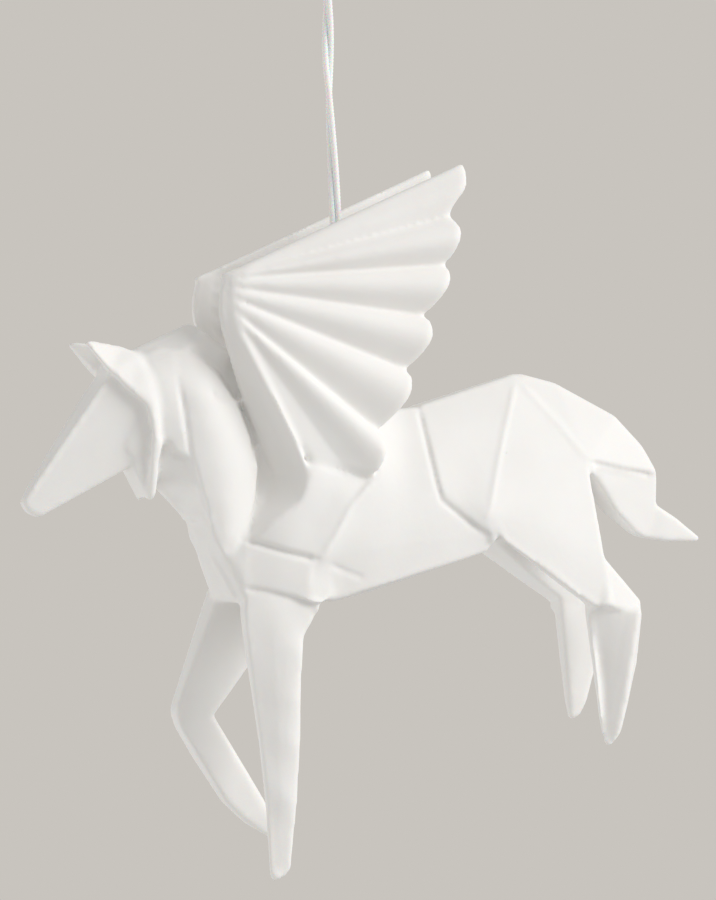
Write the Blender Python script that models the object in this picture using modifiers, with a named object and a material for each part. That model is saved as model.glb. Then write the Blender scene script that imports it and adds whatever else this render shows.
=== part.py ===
"""Hanging pegasus ornament in folded-paper style, cast in one piece of white porcelain.

The horse looks towards -X and hangs nose down, as it does on its cord. Z is up.
The origin is where a hook holds the loop of the cord.
Points are written in millimetres from the middle of the cord's eye on the back:
along the horse, out from its middle plane, and up.
"""
import math

import bmesh
import bpy
from mathutils import Vector

MM = 0.001

# Heights and thicknesses in millimetres
HOOK_ABOVE_EYE = 76.0
SOFT_EDGE = 0.45
CLEARANCE = 0.3

CORD_DIAMETER = 0.85
STRAND_SPACING = 1.05
KNOT_DIAMETER = 3.0
KNOT_HEIGHT = 3.6
LOOP_WIDTH = 3.0

EYE_BAR = 1.6
EYE_HOLE = 2.7

HEAD_HALF = 4.6
FLAP_HALF = 7.2
FLAP_WALL = 1.5
NECK_HALF = 6.6
MANE_HALF = 9.4
SHOULDER_HALF = 11.2
RIDGE_TOP = 10.2
RIDGE_LOW = 11.9
BARREL_HALF = 10.4
HAUNCH_HALF = 11.2
LEG_OUT = 9.6
LEG_IN = 4.4

WING_HALF = 10.0
WING_WALL = 2.2
PLEAT_RISE_ROOT = 0.35
PLEAT_RISE_TIP = 2.1
PLEAT_STEPS = 6
PLEAT_LENGTHS = 6
SEAM = 0.002


def point(along, out, up):
    """A point in metres from the eye: along the horse, out to the near side at -Y, and up."""
    return Vector((along * MM, -out * MM, up * MM))


def hang(made, where):
    """Put an object in its collection, hung so that the hook is at the origin."""
    where.objects.link(made)
    made.location = (0.0, 0.0, -HOOK_ABOVE_EYE * MM)
    return made


def clear_scene():
    for item in list(bpy.data.objects):
        bpy.data.objects.remove(item, do_unlink=True)


def collection(name):
    made = bpy.data.collections.new(name)
    bpy.context.scene.collection.children.link(made)
    return made


def place(name, mesh_work, where, soft):
    """Turn a finished mesh into an object with softened edges."""
    bmesh.ops.recalc_face_normals(mesh_work, faces=mesh_work.faces)
    mesh = bpy.data.meshes.new(name)
    mesh_work.to_mesh(mesh)
    mesh_work.free()
    made = hang(bpy.data.objects.new(name, mesh), where)
    if soft > 0:
        rounding = made.modifiers.new("soft edges", "BEVEL")
        rounding.width = soft * MM
        rounding.segments = 1
        rounding.limit_method = "ANGLE"
        rounding.angle_limit = math.radians(12)
    return made


def hull_into(mesh_work, corners):
    """The convex block around some corners."""
    verts = [mesh_work.verts.new(point(*c)) for c in corners]
    found = bmesh.ops.convex_hull(mesh_work, input=verts)
    spare = [v for v in found["geom_interior"] if isinstance(v, bmesh.types.BMVert)]
    bmesh.ops.delete(mesh_work, geom=spare, context="VERTS")
    flat = [e for e in mesh_work.edges if e.is_valid]
    bmesh.ops.dissolve_limit(
        mesh_work, angle_limit=math.radians(1.0), verts=mesh_work.verts[:], edges=flat
    )


def mirrored(corners):
    return [(a, -o, u) for a, o, u in corners]


def block(name, corners, soft=SOFT_EDGE):
    """One convex block across the middle plane, the same on both sides."""
    work = bmesh.new()
    hull_into(work, list(corners) + mirrored(corners))
    return place(name, work, HELPERS, soft)


def side_block(name, corners, sides=(1, -1), soft=SOFT_EDGE):
    """A convex block on the near side, on the far side, or on both."""
    work = bmesh.new()
    for side in sides:
        hull_into(work, [(a, o * side, u) for a, o, u in corners])
    return place(name, work, HELPERS, soft)


def loft(name, rings, sides=(1, -1), soft=SOFT_EDGE):
    """A closed skin over matching rings of corners, capped at both ends."""
    work = bmesh.new()
    for side in sides:
        rows = [[work.verts.new(point(a, o * side, u)) for a, o, u in r] for r in rings]
        count = len(rings[0])
        for low, high in zip(rows, rows[1:]):
            for i in range(count):
                j = (i + 1) % count
                work.faces.new((low[i], low[j], high[j], high[i]))
        work.faces.new(rows[0][::-1])
        work.faces.new(rows[-1])
    return place(name, work, HELPERS, soft)


def head():
    """Long wedge with flat cheeks and a narrow flat nose bridge."""
    corners = [
        (-39.8, HEAD_HALF, 5.2),
        (-54.0, 1.3, -14.6),
        (-53.2, 1.2, -16.3),
        (-51.2, 1.1, -17.2),
        (-34.0, 3.6, -8.4),
        (-33.6, HEAD_HALF + 0.6, 0.2),
        (-35.0, 3.6, 6.8),
    ]
    block("head_wedge", corners)


def ear_flaps():
    """Two folded ears that run down over the cheeks to a point at the throat."""
    outer = [
        ((-44.2, 6.5, 10.6), (-43.2, 5.4, 10.9)),
        ((-40.4, 6.7, 5.9), (-37.4, 2.6, 9.9)),
        ((-37.2, 7.0, 2.7), (-34.4, 4.2, 8.0)),
        ((-34.6, FLAP_HALF, 0.2), (-32.6, 6.2, 4.3)),
        ((-33.7, FLAP_HALF, -3.9), (-31.9, FLAP_HALF, -0.6)),
        ((-33.9, 6.2, -8.8), (-32.2, 6.7, -6.2)),
        ((-34.0, 3.7, -15.2), (-32.9, 4.2, -14.2)),
    ]
    rings = []
    for front, rear in outer:
        inner_rear = (rear[0] + 0.4, rear[1] - FLAP_WALL, rear[2] - 0.6)
        inner_front = (front[0] + 0.2, front[1] - FLAP_WALL, front[2] - 0.2)
        rings.append([front, rear, inner_rear, inner_front])
    loft("ear_flaps", rings, soft=0.3)
    brow = [
        (-43.8, 5.5, 10.5),
        (-37.6, 2.4, 9.9),
        (-34.8, 2.6, 8.8),
        (-40.6, 3.6, 5.6),
        (-41.6, 4.4, 7.4),
        (-34.0, 3.6, 4.2),
    ]
    side_block("ear_roots", brow, soft=0.3)
    crown = [
        (-37.6, 2.5, 9.6),
        (-33.8, 2.8, 8.6),
        (-40.0, 3.0, 5.2),
        (-33.4, 4.2, 1.0),
    ]
    block("crown", crown, soft=0.3)
    throat = [
        (-33.9, 3.2, -14.9),
        (-33.1, 3.4, -13.9),
        (-36.4, 4.1, -9.4),
        (-32.6, 5.1, -6.4),
        (-31.9, 4.0, -9.0),
        (-34.3, 1.4, -14.6),
    ]
    block("throat_flap", throat, soft=0.3)


def neck():
    """Neck with a sharp crest, a cheek facet and the long leaf of the mane."""
    crest_width = 0.9
    core = [
        (-35.0, crest_width, 9.0),
        (-30.0, crest_width, 11.1),
        (-25.0, crest_width, 13.2),
        (-30.4, 4.4, 7.2),
        (-27.0, 4.9, 8.0),
        (-33.0, 3.6, -9.0),
        (-31.8, 0.8, -12.9),
        (-26.6, 0.8, -18.8),
        (-27.4, NECK_HALF, -8.0),
        (-24.4, NECK_HALF, -18.0),
        (-14.0, NECK_HALF, 3.6),
        (-12.0, NECK_HALF, -22.0),
    ]
    block("neck_core", core)
    withers = [
        (-25.6, 0.9, 12.8),
        (-22.0, 3.4, 9.6),
        (-2.4, 2.4, -1.2),
        (-18.0, NECK_HALF, 0.0),
        (-4.0, NECK_HALF + 1.4, -6.0),
        (-12.0, NECK_HALF + 1.4, -20.0),
    ]
    block("withers", withers)
    cheek_side = [
        (-34.2, 3.6, 7.9),
        (-28.8, 5.2, 8.3),
        (-27.5, NECK_HALF + 0.5, 0.8),
        (-27.4, NECK_HALF + 0.9, -8.4),
        (-30.2, NECK_HALF + 0.4, -8.2),
        (-32.2, 5.8, -4.2),
        (-27.0, 3.5, -4.0),
    ]
    side_block("neck_cheek", cheek_side, soft=0.35)
    leaf = [
        (-28.4, 4.9, 8.6),
        (-24.4, NECK_HALF - 0.4, 5.8),
        (-20.6, NECK_HALF + 1.0, 0.2),
        (-18.1, NECK_HALF + 1.6, -6.8),
        (-17.0, MANE_HALF - 0.8, -12.4),
        (-18.2, MANE_HALF - 0.6, -19.0),
        (-20.4, 8.8, -23.4),
        (-23.2, 8.2, -25.3),
        (-22.6, MANE_HALF - 0.2, -17.0),
        (-23.2, MANE_HALF - 0.6, -7.0),
        (-26.4, NECK_HALF + 1.0, -16.6),
        (-28.3, NECK_HALF + 0.4, -5.0),
        (-26.0, 4.0, -4.0),
        (-22.0, 5.0, -20.0),
        (-20.0, 5.0, -4.0),
    ]
    side_block("mane_leaf", leaf)


def chest():
    """Keel of the chest with two narrow pleats on each side."""
    keel = [
        (-26.4, 0.8, -18.6),
        (-25.3, 0.8, -22.0),
        (-23.7, 0.8, -25.6),
        (-22.7, 0.8, -29.2),
        (-24.0, 4.4, -20.0),
        (-21.6, 8.0, -25.2),
        (-20.6, 8.7, -29.4),
        (-20.4, 6.4, -31.8),
        (-10.0, 7.0, -33.0),
        (-10.0, 8.0, -16.0),
    ]
    block("chest_keel", keel)
    pleat = [
        (-25.2, 2.6, -20.6),
        (-24.6, 3.8, -23.2),
        (-22.6, 5.6, -27.6),
        (-21.0, 6.9, -31.6),
        (-21.6, 3.4, -30.8),
        (-23.0, 2.4, -21.0),
        (-20.4, 4.0, -29.6),
    ]
    side_block("chest_pleats", pleat, soft=0.25)


def shoulders():
    """Shoulder under each wing and the panel that laps over the foreleg."""
    shoulder = [
        (-11.1, SHOULDER_HALF + 0.3, -8.6),
        (-9.4, SHOULDER_HALF + 0.1, -12.6),
        (1.2, RIDGE_TOP, -13.2),
        (-7.6, RIDGE_LOW, -24.7),
        (-17.0, 9.3, -22.2),
        (-16.7, 7.5, -9.4),
        (-12.0, 5.0, -6.0),
        (0.0, 5.0, -8.0),
        (1.0, 5.0, -18.0),
        (-6.0, 5.0, -26.0),
        (-14.0, 4.0, -24.0),
    ]
    side_block("shoulder", shoulder)
    panel = [
        (-18.9, 9.9, -21.7),
        (-8.1, RIDGE_LOW + 0.3, -25.2),
        (-20.6, 9.0, -25.4),
        (-19.7, LEG_OUT + 1.0, -29.3),
        (-8.3, RIDGE_LOW + 0.8, -32.4),
        (-3.2, 9.8, -30.4),
        (-4.4, 11.0, -26.6),
        (-8.4, 5.6, -32.6),
        (-19.4, 4.0, -30.0),
        (-3.2, 5.2, -30.6),
        (-12.2, 4.2, -20.4),
    ]
    side_block("foreleg_panel", panel)


def barrel():
    """The belly and back between the shoulders and the haunches."""
    corners = [
        (-12.0, 3.4, -2.6),
        (-12.0, 7.4, -10.0),
        (1.4, RIDGE_TOP, -13.3),
        (-7.4, RIDGE_LOW, -24.8),
        (-6.6, 9.2, -32.4),
        (9.0, 2.6, -1.9),
        (10.0, 8.6, -14.0),
        (8.0, BARREL_HALF, -23.0),
        (6.4, 9.4, -28.9),
        (26.0, 3.0, -1.0),
        (24.0, 8.2, -14.0),
        (23.0, 9.8, -22.0),
        (21.0, 8.8, -25.2),
        (0.0, 5.0, -31.6),
    ]
    block("barrel", corners)


def haunches():
    """Hindquarters, a step prouder than the barrel, and the top fold of the tail."""
    front = [
        (29.6, 1.6, 3.5),
        (20.9, HAUNCH_HALF, -19.8),
        (12.0, 3.6, -1.4),
        (12.4, 8.0, -9.0),
        (12.9, 10.2, -15.0),
        (18.0, 11.0, -20.2),
        (21.3, 11.0, -22.2),
        (24.0, 6.0, -24.0),
        (14.0, 4.0, -14.0),
    ]
    block("haunch_front", front)
    rump = [
        (29.6, 1.6, 3.5),
        (35.9, 1.7, 1.7),
        (46.0, 2.0, -4.0),
        (50.6, 1.7, -9.0),
        (53.2, 1.3, -13.6),
        (52.4, 2.8, -14.0),
        (39.4, 6.6, -11.4),
        (24.0, 4.0, -10.0),
        (37.0, 4.0, -13.0),
    ]
    block("rump", rump)
    seat = [
        (26.0, 3.6, -8.0),
        (39.0, 5.0, -12.0),
        (40.2, 5.4, -24.4),
        (23.0, 8.0, -23.6),
    ]
    block("seat", seat)
    thigh = [
        (29.7, 1.8, 3.2),
        (20.9, HAUNCH_HALF, -19.8),
        (22.9, 11.1, -23.5),
        (38.2, LEG_OUT + 1.0, -34.8),
        (41.6, LEG_OUT + 0.9, -35.0),
        (39.4, 6.2, -11.2),
        (40.9, 8.9, -26.7),
        (28.0, 2.0, -4.0),
        (24.4, 4.0, -22.0),
        (38.4, LEG_IN, -34.2),
        (41.0, LEG_IN, -34.2),
        (40.4, 3.4, -24.0),
        (32.0, LEG_IN, -29.2),
    ]
    side_block("thigh", thigh)
    hock = [
        (37.4, 8.9, -28.6),
        (40.9, 8.9, -26.8),
        (47.4, 8.0, -34.3),
        (47.2, 8.2, -35.4),
        (42.1, LEG_OUT + 0.6, -35.6),
        (39.2, LEG_OUT, -34.2),
        (37.0, LEG_IN + 0.4, -29.0),
        (40.8, LEG_IN + 0.4, -27.4),
        (46.9, LEG_IN + 0.2, -34.4),
        (46.7, LEG_IN + 0.3, -35.3),
        (39.6, LEG_IN + 0.3, -34.6),
    ]
    side_block("hock", hock)


def tail():
    """Lower folds of the tail: down, and out to a pointed tip."""
    middle = [
        (39.6, 5.8, -11.6),
        (52.9, 1.9, -13.8),
        (52.7, 1.6, -19.3),
        (50.6, 1.5, -24.2),
        (48.8, 2.2, -23.4),
        (45.1, 3.6, -19.8),
        (42.8, 4.8, -15.6),
        (39.0, 4.0, -12.0),
    ]
    block("tail_middle", middle, soft=0.35)
    tip = [
        (52.8, 1.5, -18.8),
        (50.6, 1.4, -24.2),
        (49.0, 1.2, -23.6),
        (60.8, 0.5, -24.7),
        (56.2, 1.1, -21.0),
        (60.2, 0.4, -25.2),
        (54.6, 1.2, -24.9),
        (50.6, 1.2, -20.0),
    ]
    block("tail_tip", tip, soft=0.3)


def leg_ring(up, front, rear, out, inside, ridge=0.45):
    """Five corners around a leg at one height."""
    middle = front + (rear - front) * ridge
    edge = min(1.3, (out - inside) * 0.3)
    return [
        (front, out - edge, up),
        (middle, out, up - 0.1),
        (rear, out - edge * 1.2, up),
        (rear - 0.3, inside + 0.3, up),
        (front + 0.4, inside, up),
    ]


def forelegs():
    """Straight near foreleg and the raised, bent far foreleg."""
    near = [
        leg_ring(-27.0, -19.6, -6.0, LEG_OUT - 0.8, LEG_IN),
        leg_ring(-33.6, -20.1, -7.8, LEG_OUT + 0.5, LEG_IN),
        leg_ring(-37.5, -19.8, -10.3, LEG_OUT, LEG_IN + 0.2),
        leg_ring(-41.3, -19.4, -10.8, LEG_OUT - 0.3, LEG_IN + 0.4),
        leg_ring(-54.5, -17.9, -11.3, LEG_OUT - 0.9, LEG_IN + 0.8),
        leg_ring(-65.0, -17.2, -12.2, LEG_OUT - 1.3, LEG_IN + 1.2),
        leg_ring(-74.6, -17.0, -13.4, LEG_OUT - 1.6, LEG_IN + 1.6),
    ]
    hoof = [
        (-16.7, LEG_OUT - 2.4, -76.6),
        (-16.0, LEG_OUT - 2.2, -76.6),
        (-14.0, LEG_OUT - 2.8, -75.8),
        (-14.4, LEG_IN + 2.2, -75.8),
        (-16.6, LEG_IN + 2.0, -76.4),
    ]
    loft("foreleg_near", near + [hoof], sides=(1,))
    far_upper = [
        (-20.4, 8.4, -27.0),
        (-9.4, 8.4, -28.0),
        (-20.4, 8.8, -30.6),
        (-28.6, 8.4, -48.9),
        (-28.3, 8.0, -50.4),
        (-21.4, 8.4, -50.2),
        (-14.4, 8.8, -41.6),
        (-9.0, 8.8, -33.0),
        (-19.6, LEG_IN, -28.0),
        (-28.2, 5.0, -48.9),
        (-27.9, 5.2, -50.4),
        (-21.8, 5.0, -50.0),
        (-14.8, LEG_IN, -41.0),
        (-9.6, LEG_IN, -32.0),
    ]
    side_block("foreleg_far_upper", far_upper, sides=(-1,))
    far_lower = [
        (-28.6, 8.3, -48.9),
        (-28.0, 8.2, -51.6),
        (-24.5, 8.2, -58.0),
        (-20.6, 8.0, -64.3),
        (-17.3, 7.8, -67.7),
        (-21.4, 8.3, -50.2),
        (-17.0, 8.2, -60.0),
        (-12.6, 7.8, -66.7),
        (-28.2, 5.1, -48.9),
        (-27.6, 5.2, -51.6),
        (-20.2, 5.8, -64.0),
        (-17.0, 6.0, -67.2),
        (-21.8, 5.1, -50.2),
        (-13.0, 6.0, -66.9),
        (-11.4, 6.9, -71.7),
        (-9.8, 6.9, -71.9),
        (-9.7, 7.0, -70.6),
    ]
    side_block("foreleg_far_lower", far_lower, sides=(-1,))


def hind_legs():
    """Lower hind legs: the near one reaches further down than the far one."""
    near = [
        leg_ring(-34.0, 38.2, 47.0, LEG_OUT - 0.6, LEG_IN, 0.4),
        leg_ring(-36.4, 38.1, 47.6, LEG_OUT - 0.5, LEG_IN + 0.1, 0.4),
        leg_ring(-44.3, 38.9, 46.5, LEG_OUT - 0.9, LEG_IN + 0.5, 0.4),
        leg_ring(-50.6, 39.4, 44.8, LEG_OUT - 1.2, LEG_IN + 0.9, 0.4),
        leg_ring(-55.4, 39.8, 43.4, LEG_OUT - 1.5, LEG_IN + 1.3, 0.4),
        leg_ring(-57.7, 40.5, 41.6, LEG_OUT - 2.0, LEG_IN + 1.9, 0.4),
    ]
    loft("hind_leg_near", near, sides=(1,))
    far = [
        leg_ring(-33.4, 37.0, 46.6, LEG_OUT - 0.6, LEG_IN, 0.4),
        leg_ring(-35.8, 37.3, 46.8, LEG_OUT - 0.6, LEG_IN + 0.1, 0.4),
        leg_ring(-43.3, 37.8, 44.4, LEG_OUT - 1.0, LEG_IN + 0.5, 0.4),
        leg_ring(-50.4, 38.4, 42.4, LEG_OUT - 1.4, LEG_IN + 1.0, 0.4),
        leg_ring(-53.7, 38.9, 41.0, LEG_OUT - 1.9, LEG_IN + 1.7, 0.4),
    ]
    loft("hind_leg_far", far, sides=(-1,))


def between(a, b, t):
    return tuple(p + (q - p) * t for p, q in zip(a, b))


def wing_line(root, tip, rise_root, rise_tip, t):
    """A point of one fold line; the rise lifts it out from the wing's plane."""
    at = between(root, tip, t)
    rise = rise_root + (rise_tip - rise_root) * t
    return (at[0], at[1] + rise, at[2])


def wings():
    """Fan of rounded pleats on each side, from the bend to the scalloped edge.

    Each valley is a straight line. Between two valleys the pleat is an arch that
    stands further out, and reaches further back, the nearer it is to the tip.
    """
    valleys = [
        ((-18.8, -0.2, 21.0), (16.5, -0.2, 29.0), 0.0),
        ((-19.0, -0.2, 19.9), (15.4, -0.2, 21.2), 1.2),
        ((-19.4, -0.2, 18.2), (11.4, -0.2, 13.1), 1.2),
        ((-19.8, -0.2, 16.4), (8.1, -0.2, 4.5), 1.7),
        ((-19.8, -0.2, 14.3), (3.0, -0.2, -5.1), 1.8),
        ((-19.3, -0.2, 11.8), (-8.4, -0.6, -9.9), 0.0),
    ]
    columns = [
        ((-20.2, -1.2, 21.0), (19.0, 0.0, 37.3), 0.0, 0.0),
        ((-19.8, 0.0, 20.9), (19.4, 0.6, 36.4), 0.1, 0.2),
        ((-19.3, 0.1, 20.95), (18.4, 0.6, 32.8), 0.1, 0.1),
    ]
    for (root_a, tip_a, _), (root_b, tip_b, bulge) in zip(valleys, valleys[1:]):
        columns.append((root_a, tip_a, 0.0, 0.0))
        last = root_b == valleys[-1][0]
        for step in range(1, PLEAT_STEPS):
            s = step / PLEAT_STEPS
            arch = math.sin(math.pi * s)
            root = between(root_a, root_b, s)
            tip = between(tip_a, tip_b, s)
            if last:
                drop = min(1.0, s * 1.55)
                tip = between(tip_a, (1.7, 0.0, -12.5), drop)
                tip = between(tip, tip_b, max(0.0, (s - 0.645) / 0.355))
            tip = (tip[0] + bulge * arch, tip[1], tip[2])
            columns.append((root, tip, PLEAT_RISE_ROOT * arch, PLEAT_RISE_TIP * arch))
    columns.append((valleys[-1][0], valleys[-1][1], 0.0, 0.0))
    columns.append(((-19.9, 0.4, 12.2), (-9.6, 0.7, -9.8), 0.0, 0.0))
    columns.append(((-21.2, -0.6, 13.0), (-12.6, -2.0, -9.8), 0.0, 0.0))
    columns.append(((-22.1, -1.6, 13.6), (-14.8, -3.2, -9.8), 0.0, 0.0))
    work = bmesh.new()
    for side in (1, -1):
        outer = []
        inner = []
        for root, tip, rise_root, rise_tip in columns:
            row_out = []
            row_in = []
            for k in range(PLEAT_LENGTHS + 1):
                t = k / PLEAT_LENGTHS
                a, o, u = wing_line(root, tip, rise_root, rise_tip, t)
                wall = WING_WALL * (1.0 - 0.25 * t)
                row_out.append(work.verts.new(point(a, (WING_HALF + o) * side, u)))
                row_in.append(work.verts.new(point(a, (WING_HALF + o - wall) * side, u)))
            outer.append(row_out)
            inner.append(row_in)
        skin(work, outer, inner)
    place("wings", work, HELPERS, 0.0)
    hub = [
        (-19.6, WING_HALF + 0.1, 21.0),
        (-20.6, WING_HALF - 0.1, 20.6),
        (-21.4, WING_HALF - 0.3, 18.6),
        (-21.7, WING_HALF - 0.3, 15.4),
        (-21.2, WING_HALF - 0.2, 13.0),
        (-20.6, WING_HALF - 1.8, 21.0),
        (-21.9, WING_HALF - 1.6, 19.2),
        (-22.4, WING_HALF - 1.6, 16.2),
        (-22.2, WING_HALF - 1.8, 13.4),
        (-18.8, WING_HALF - 2.3, 20.8),
        (-18.6, WING_HALF - 2.3, 12.6),
        (-18.8, WING_HALF + 0.05, 15.0),
        (-18.8, WING_HALF + 0.05, 20.2),
    ]
    side_block("wing_bend", hub)
    root = [
        (-16.6, 7.6, -8.0),
        (-10.0, WING_HALF - 1.3, -6.6),
        (2.0, 8.4, -5.0),
        (-4.0, 8.6, -2.0),
        (-13.6, 7.8, -2.0),
        (2.0, 6.0, -12.0),
        (-14.0, 6.0, -12.0),
        (-8.0, 6.4, -2.0),
    ]
    side_block("wing_foot", root)


def skin(work, outer, inner):
    """Close the two faces of a wing round their common edge."""
    rows = len(outer)
    steps = len(outer[0])
    for i in range(rows - 1):
        for k in range(steps - 1):
            work.faces.new((outer[i][k], outer[i][k + 1], outer[i + 1][k + 1], outer[i + 1][k]))
            work.faces.new((inner[i][k], inner[i + 1][k], inner[i + 1][k + 1], inner[i][k + 1]))
    for k in range(steps - 1):
        work.faces.new((outer[0][k], inner[0][k], inner[0][k + 1], outer[0][k + 1]))
        work.faces.new((outer[-1][k], outer[-1][k + 1], inner[-1][k + 1], inner[-1][k]))
    for i in range(rows - 1):
        work.faces.new((outer[i][0], outer[i + 1][0], inner[i + 1][0], inner[i][0]))
        work.faces.new((outer[i][-1], inner[i][-1], inner[i + 1][-1], outer[i + 1][-1]))


def tube(name, points, diameter, where):
    """Round cord along a list of points."""
    curve = bpy.data.curves.new(name, "CURVE")
    curve.dimensions = "3D"
    curve.bevel_depth = diameter / 2 * MM
    curve.bevel_resolution = 2
    curve.use_fill_caps = True
    line = curve.splines.new("POLY")
    line.points.add(len(points) - 1)
    for slot, at in zip(line.points, points):
        slot.co = (*point(*at), 1.0)
    return hang(bpy.data.objects.new(name, curve), where)


def bar(name, points, diameter, across, closed=False):
    """Solid round bar along points that all lie square to the direction across."""
    work = bmesh.new()
    across = Vector(across)
    line = [point(*at) for at in points]
    count = len(line)
    rings = []
    for i, at in enumerate(line):
        before = line[i - 1] if i or closed else at
        after = line[(i + 1) % count] if i < count - 1 or closed else at
        side = (after - before).normalized().cross(across).normalized()
        ring = []
        for step in range(10):
            turn = math.tau * step / 10
            offset = side * math.cos(turn) + across * math.sin(turn)
            ring.append(work.verts.new(at + offset * (diameter / 2 * MM)))
        rings.append(ring)
    pairs = list(zip(rings, rings[1:]))
    if closed:
        pairs.append((rings[-1], rings[0]))
    else:
        work.faces.new(rings[0][::-1])
        work.faces.new(rings[-1])
    for low, high in pairs:
        for i in range(10):
            j = (i + 1) % 10
            work.faces.new((low[i], low[j], high[j], high[i]))
    return place(name, work, HELPERS, 0.0)


def cord_eye():
    """Upright ring on the back between the wings, with its hole along the horse."""
    middle = (EYE_HOLE + EYE_BAR) / 2
    ring = []
    for step in range(20):
        turn = math.tau * step / 20
        ring.append((0.0, middle * math.cos(turn), middle * math.sin(turn)))
    bar("eye_ring", ring, EYE_BAR, (1, 0, 0), closed=True)


def cord_route():
    """Both strands of the cord, from the knot down through the eye and back up."""
    bar_up = (EYE_HOLE + EYE_BAR) / 2
    reach = EYE_BAR / 2 + CLEARANCE + CORD_DIAMETER / 2
    top = HOOK_ABOVE_EYE - LOOP_WIDTH - KNOT_HEIGHT - 2 * CLEARANCE
    # Height, half spacing and twist in degrees of the front strand
    strand = [
        (top, 0.5, 262.0),
        (64.0, 0.5, 262.0),
        (60.5, 0.5, 232.0),
        (57.0, 0.5, 200.0),
        (53.5, 0.5, 150.0),
        (50.0, 0.5, 100.0),
        (46.5, 0.5, 62.0),
        (43.0, 0.5, 36.0),
        (38.0, 0.5, 18.0),
        (32.0, 0.5, 6.0),
        (24.0, 0.62, 0.0),
        (14.0, 0.95, 0.0),
        (6.0, 1.32, 0.0),
    ]
    half = STRAND_SPACING
    down = []
    up = []
    for height, spacing, twist in strand:
        turn = math.radians(twist)
        a = 2 * spacing * half * 0.5 * math.cos(turn)
        o = 2 * spacing * half * 0.5 * math.sin(turn)
        down.append((-a, -o, height))
        up.append((a, o, height))
    round_bar = []
    for step in range(9):
        turn = math.pi + math.pi * step / 8
        round_bar.append((reach * math.cos(turn), 0.0, bar_up + reach * math.sin(turn)))
    return down + round_bar + up[::-1]


def hanging_cord():
    made = tube("hanging_cord", cord_route(), CORD_DIAMETER, OBJECT)
    made.data.materials.append(cord_white())


def cord_knot():
    """Round knot of two turns with the small loop that goes over the hook."""
    knot_middle = HOOK_ABOVE_EYE - LOOP_WIDTH - KNOT_HEIGHT / 2 - CLEARANCE
    work = bmesh.new()
    bmesh.ops.create_uvsphere(work, u_segments=16, v_segments=10, radius=1.0)
    for v in work.verts:
        v.co = point(
            v.co.x * KNOT_DIAMETER / 2,
            v.co.y * KNOT_DIAMETER / 2,
            knot_middle + v.co.z * KNOT_HEIGHT / 2,
        )
    mesh = bpy.data.meshes.new("cord_knot")
    bmesh.ops.recalc_face_normals(work, faces=work.faces)
    work.to_mesh(mesh)
    work.free()
    knot = hang(bpy.data.objects.new("cord_knot", mesh), OBJECT)
    for index, shift in enumerate((-0.75, 0.75)):
        turn_line = []
        for step in range(16):
            turn = math.tau * step / 16
            radius = KNOT_DIAMETER / 2 - 0.1
            turn_line.append(
                (radius * math.cos(turn), radius * math.sin(turn), knot_middle + shift)
            )
        name = f"knot_turn_{index + 1}"
        unite(knot, bar(name, turn_line, CORD_DIAMETER, (0, 0, 1), closed=True))
    loop = []
    half = LOOP_WIDTH / 2
    low = knot_middle + 0.6
    high = HOOK_ABOVE_EYE - half + CORD_DIAMETER / 2
    loop.append((-0.45, 0.0, low))
    for step in range(11):
        turn = math.pi * (1.0 - step / 10) * 1.0
        loop.append((half * math.cos(turn), 0.0, high + half * math.sin(turn)))
    loop.append((0.45, 0.0, low))
    unite(knot, bar("knot_loop", loop, CORD_DIAMETER, (0, 1, 0)))
    knot.data.materials.append(cord_white())


def unite(target, other, crossing=False):
    """Fuse another piece into the target; its own shells may cross. It stays as a helper."""
    other.hide_render = True
    other.display_type = "WIRE"
    fuse = target.modifiers.new("with " + other.name, "BOOLEAN")
    fuse.operation = "UNION"
    fuse.solver = "EXACT"
    fuse.object = other
    fuse.use_self = crossing


def all_blocks():
    """Every block with its softened edges, freed of hair-thin faces, in one mesh."""
    graph = bpy.context.evaluated_depsgraph_get()
    work = bmesh.new()
    for helper in list(HELPERS.objects):
        helper.hide_render = True
        one = bmesh.new()
        one.from_object(helper, graph)
        bmesh.ops.dissolve_degenerate(one, dist=SEAM * MM, edges=one.edges)
        bmesh.ops.remove_doubles(one, verts=one.verts, dist=SEAM * MM)
        mesh = bpy.data.meshes.new(helper.name + "_clean")
        one.to_mesh(mesh)
        one.free()
        work.from_mesh(mesh)
    return place("all_blocks", work, HELPERS, 0.0)


def material(name, colour, roughness):
    made = bpy.data.materials.new(name)
    made.use_nodes = True
    shader = made.node_tree.nodes["Principled BSDF"]
    shader.inputs["Base Color"].default_value = (*colour, 1.0)
    shader.inputs["Roughness"].default_value = roughness
    return made


def bisque_porcelain():
    return material("bisque_porcelain", (0.90, 0.89, 0.87), 0.62)


def cord_white():
    return bpy.data.materials.get("cord_white") or material("cord_white", (0.92, 0.92, 0.92), 0.8)


def pegasus():
    """All the folds fused into the one cast piece."""
    head()
    ear_flaps()
    neck()
    chest()
    shoulders()
    haunches()
    tail()
    forelegs()
    hind_legs()
    wings()
    cord_eye()
    barrel()
    base = bpy.data.objects["barrel"]
    base.name = "pegasus"
    HELPERS.objects.unlink(base)
    OBJECT.objects.link(base)
    unite(base, all_blocks(), crossing=True)
    seams = base.modifiers.new("seams", "WELD")
    seams.merge_threshold = SEAM * MM
    base.data.materials.append(bisque_porcelain())


clear_scene()
OBJECT = collection("pegasus_figurine")
HELPERS = collection("helpers")
pegasus()
hanging_cord()
cord_knot()
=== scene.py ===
"""White porcelain pegasus ornament in folded-paper style, hanging on its doubled cord."""

import math

import bmesh
import bpy
import numpy as np
from mathutils import Matrix, Vector


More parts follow.
